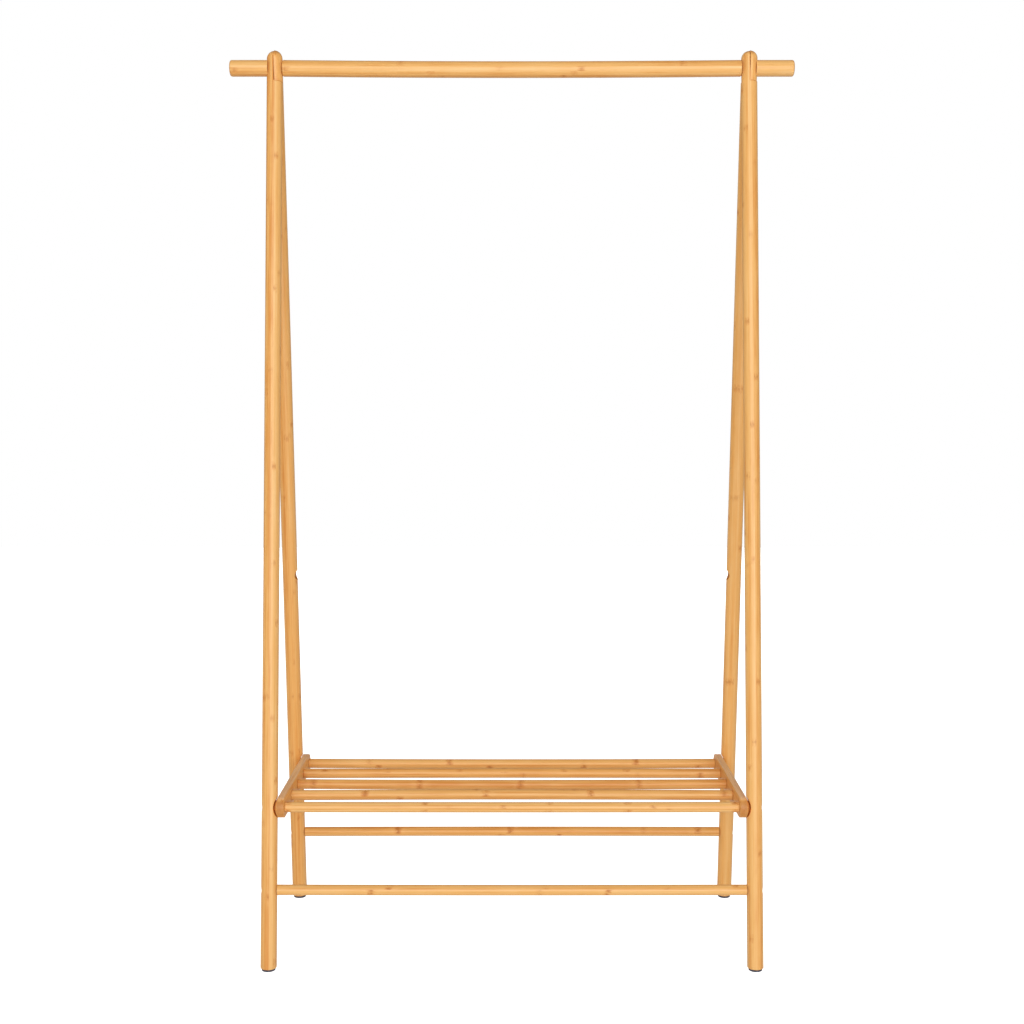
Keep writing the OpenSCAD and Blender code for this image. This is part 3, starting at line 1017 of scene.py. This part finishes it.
def tenoned_bar(radius, half, tip):
    """A bar with a round tenon at each end, out to z = tip."""
    end = [(radius, half - BAR_EDGE), (radius - BAR_EDGE, half), (TENON_R, half)]
    end += [(TENON_R, tip - TENON_EDGE), (TENON_R - TENON_EDGE, tip), (0.0, tip)]
    body = [(radius, z) for z in stations(-half, half, 40)]
    return lathe([(r, -z) for r, z in reversed(end)] + body + end)


def make_shelf_bar(number, bow):
    """The front bar is bored for the pivot bolts' inserts. The others have tenons in the rails."""
    node = f"shelf_bar_{number}"
    low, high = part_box(node)
    radius = (high.z - low.z) / 2
    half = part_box("shelf_rail_right")[0].x - BAR_END_GAP
    if number == 1:
        shape = bar_solid(radius, -half, half, SHELF_BAR_BORED, SHELF_BAR_BORED)
    else:
        shape = tenoned_bar(radius, half, high.x)
    bar = make_object(f"{node}_bar", bowed(shape, half, bow))
    seed = 30.0 + 1.7 * number
    settle(bar, Matrix.Translation(middle(node)) @ ALONG_X, roll=77.0 * number, slide=0.57 * seed)
    # Painted shade: the further back a bar lies, the more it takes of the darker rear tint
    share = (number - 1) / BAR_STEPS
    tint = [front + share * (rear - front) for front, rear in zip(FRONT_TINT, REAR_PAINTED_SHADE_TINT)]
    material = bamboo(f"bamboo_{node}", seed, SHELF_BAR_WOOD, tint)
    finish_piece(bar, node, "shelf", "bamboo_bar", material)


def rail_shape(reach, end_r, thick):
    """A board with round ends and eased rims. Its length, along its own Z, is the frame's Y."""
    outline = arc(reach, 0.0, end_r, -90.0, 90.0, 40) + arc(-reach, 0.0, end_r, 90.0, 270.0, 40)
    shape = bmesh.new()
    face = shape.faces.new([shape.verts.new((-thick / 2, z, y)) for y, z in outline])
    grown = bmesh.ops.extrude_face_region(shape, geom=[face])["geom"]
    grown_verts = [item for item in grown if isinstance(item, bmesh.types.BMVert)]
    bmesh.ops.translate(shape, vec=(thick, 0.0, 0.0), verts=grown_verts)
    bmesh.ops.recalc_face_normals(shape, faces=shape.faces)
    rims = [edge for edge in shape.edges if edge.calc_face_angle(0.0) > RIM_ANGLE]
    bmesh.ops.bevel(shape, geom=rims, offset=RAIL_EDGE, offset_type="OFFSET", segments=3,
                    profile=0.5, affect="EDGES")
    return shape


def make_shelf_rail(side):
    node = f"shelf_rail_{SIDE_NAMES[side]}"
    low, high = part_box(node)
    centre = middle(node)
    end_r = (high.z - low.z) / 2
    thick = high.x - low.x
    rail = make_object(f"{node}_board", rail_shape((high.y - low.y) / 2 - end_r, end_r, thick))
    place = Matrix.Translation(centre) @ RAIL_AXES
    into = place.inverted()
    at_pivot = Matrix.Translation((centre.x, pivot.y, pivot.z)) @ ALONG_X
    cutters = [turned(rod_shape(PIVOT_HOLE_R, 4 * thick, HOLE_AROUND, -2 * thick), into @ at_pivot)]
    pitch = (middle("shelf_bar_5").y - middle("shelf_bar_1").y) / BAR_STEPS
    socket_x = side * (min(abs(low.x), abs(high.x)) + SOCKET_MIDDLE)
    for number in range(1, BAR_STEPS + 1):
        at = Matrix.Translation((socket_x, pivot.y + number * pitch, pivot.z)) @ ALONG_X
        socket = rod_shape(SOCKET_R, SOCKET_LENGTH, HOLE_AROUND, -SOCKET_LENGTH / 2)
        cutters.append(turned(socket, into @ at))
    carve(rail, cutters)
    seed = 44.0 + side
    settle(rail, place, roll=0.0, slide=0.9 * seed)
    # The rails' tops and bottoms take the ply tones, which are partly a painted sheen
    material = bamboo(f"bamboo_{node}", seed, RAIL_WOOD, RAIL_TINT, ply_edge_and_sheen=0.8)
    finish_piece(rail, node, "shelf", "bamboo_rail", material)


# ---- bolts, spacers and screws ----

BOLT_R = 3 * MM
BOLT_LENGTH = 46 * MM
BOLT_SOCKET = 4 * MM
PIVOT_R = 4 * MM
PIVOT_SOCKET = 5 * MM
BOLT_HEAD_H = 4 * MM
BOLT_DOME = 0.9 * MM
BOLT_END_EDGE = 0.5 * MM
BOLT_HEAD_EDGE = 0.3 * MM
HEX_SOCKET_DEPTH = 2.5 * MM
HEX_CUTTER_H = 4 * MM
BOLT_AROUND = 64

SPACER_TOP_R = 5.5 * MM
SPACER_RIM = 0.6 * MM
SPACER_EDGE = 0.4 * MM
SPACER_AROUND = 72

# A foot screw's head as points (r, z) from its face up, and its cross recess
SCREW_HEAD = [(0.0, 0.0), (2.2 * MM, 0.0), (2.9 * MM, 0.5 * MM),
              (3.0 * MM, 1.0 * MM), (2.8 * MM, 1.6 * MM)]
SCREW_R = 1.5 * MM
SCREW_POINT = 3 * MM
CROSS_REACH = 1.7 * MM
CROSS_HALF_WIDTH = 0.35 * MM
CROSS_DEPTH = 0.9 * MM
SCREW_AROUND = 48


def bolt_shape(shank_r, head_r, length, socket):
    """A bolt along Z with its head's top at z = 0: a low dome with a hexagonal socket."""
    profile = [(0.0, -length), (shank_r - BOLT_END_EDGE, -length), (shank_r, -length + BOLT_END_EDGE)]
    profile += [(shank_r, -BOLT_HEAD_H), (head_r - BOLT_HEAD_EDGE, -BOLT_HEAD_H)]
    profile += [(head_r, -BOLT_HEAD_H + BOLT_HEAD_EDGE)]
    profile += arc(head_r - BOLT_DOME, -BOLT_DOME, BOLT_DOME, 0.0, 70.0, 5)
    profile += [(0.0, 0.0)]
    bolt = make_object("bolt", lathe(profile, BOLT_AROUND))
    socket_r = socket / math.cos(math.radians(30)) / 2
    carve(bolt, [rod_shape(socket_r, HEX_CUTTER_H, 6, -HEX_SOCKET_DEPTH)])
    return taken_shape(bolt)


def facing(side):
    """Turns +Z to point out of the rack on that side."""
    return Matrix.Rotation(side * math.pi / 2, 4, "Y")


def make_stretcher_bolts(row):
    node = f"stretcher_bolts_{ROW_NAMES[row]}"
    low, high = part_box(node)
    centre = middle(node)
    shapes = []
    for side in (LEFT, RIGHT):
        top = Matrix.Translation((side * high.x, centre.y, centre.z))
        bolt = bolt_shape(BOLT_R, (high.z - low.z) / 2, BOLT_LENGTH, BOLT_SOCKET)
        shapes.append(turned(bolt, top @ facing(side)))
    finish_piece(joined(f"{node}_set", shapes), node, "frame", "zinc_steel", zinc)


def make_pivot_bolt(side):
    node = f"pivot_bolt_{SIDE_NAMES[side]}"
    low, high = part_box(node)
    size = high - low
    top = Matrix.Translation((side * max(abs(low.x), abs(high.x)), pivot.y, pivot.z))
    shape = turned(bolt_shape(PIVOT_R, size.z / 2, size.x, PIVOT_SOCKET), top @ facing(side))
    finish_piece(make_object(f"{node}_screw", shape), node, "shelf", "zinc_steel", shank_steel)


def make_pivot_spacer(side):
    """A conical washer between the rail and the leg's scoop, wide against the rail."""
    node = f"pivot_spacer_{SIDE_NAMES[side]}"
    low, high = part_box(node)
    height = high.x - low.x
    base, top, edge = (high.z - low.z) / 2, SPACER_TOP_R, SPACER_EDGE
    slope = (height - SPACER_RIM) / (base - top)
    outline = [(PIVOT_HOLE_R, 0.0), (base - edge, 0.0), (base, edge / 2), (base, SPACER_RIM)]
    outline += [(top + edge, height - slope * edge), (top, height - edge / 3), (top - edge, height)]
    outline += [(PIVOT_HOLE_R, height)]
    base_x = min(abs(low.x), abs(high.x))
    place = Matrix.Translation((side * base_x, pivot.y, pivot.z)) @ facing(side)
    washer = make_object(f"{node}_ring", turned(ring_lathe(outline, SPACER_AROUND), place))
    finish_piece(washer, node, "shelf", "bamboo_bar", spacer_wood)


def make_foot_screws():
    """Four pan-head screws with a cross recess, one up through each foot pad."""
    low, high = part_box("foot_screws")
    length = high.z - low.z
    shank = [(SCREW_R, SCREW_HEAD[-1][1]), (SCREW_R, length - SCREW_POINT), (0.0, length)]
    long, wide = CROSS_REACH, CROSS_HALF_WIDTH
    shapes = []
    for side in (LEFT, RIGHT):
        for row in (FRONT, REAR):
            screw = make_object("screw", lathe(SCREW_HEAD + shank, SCREW_AROUND))
            cross = ((long, wide), (wide, long))
            carve(screw, [closed_box((-x, -y, -MM), (x, y, CROSS_DEPTH)) for x, y in cross])
            at = Matrix.Translation((side * leg_x, row * pad_y, low.z))
            shapes.append(turned(taken_shape(screw), at))
    finish_piece(joined("foot_screws_set", shapes), "foot_screws", "frame", "zinc_steel", zinc)


def dress_hidden_metal():
    """The studs and inserts keep their CAD shapes, which the bamboo hides."""
    for name, material, slot in (("apex_stud_left", shank_steel, "zinc_steel"),
                                 ("apex_stud_right", shank_steel, "zinc_steel"),
                                 ("rod_inserts", brass, "brass_insert"),
                                 ("stretcher_inserts", brass, "brass_insert"),
                                 ("pivot_inserts", brass, "brass_insert")):
        node = frame["nodes"][name]
        node.data.materials.clear()
        node.data.materials.append(material)


# ---- the whole scene ----

make_camera()
make_world()
for softbox in SOFTBOXES:
    make_softbox(*softbox)
make_floor()

zinc = metal("zinc", linear(196, 196, 198), 0.34)
brass = metal("brass", linear(206, 168, 96), 0.32)
shank_steel = metal("blackened_steel", linear(74, 62, 52), 0.55)
pad_rubber = rubber("slate_rubber")
# The cuts' wood: darker for the raw cut, and partly painted shade
scoop_cut_and_shade = cut_and_shaded_bamboo("bamboo_scoop_cut_and_shade", 61.0, SCOOP_CUT_AND_SHADE_TINT)
notch_cut_and_shade = cut_and_shaded_bamboo("bamboo_notch_cut_and_shade", 63.0, NOTCH_CUT_AND_SHADE_TINT)
spacer_wood = bamboo("bamboo_spacer", 62.0, SPACER_WOOD, RAIL_TINT)

for side in (LEFT, RIGHT):
    for row in (FRONT, REAR):
        make_leg(side, row)
        make_foot(side, row)
    make_rod_end(side)
    make_shelf_rail(side)
    make_rest_peg(side)
    make_pivot_bolt(side)
    make_pivot_spacer(side)
for row in (FRONT, REAR):
    make_stretcher(row)
    make_stretcher_bolts(row)
for number, bow in enumerate(BAR_BOWS, 1):
    make_shelf_bar(number, bow)
make_hanging_rod()
make_foot_screws()
dress_hidden_metal()
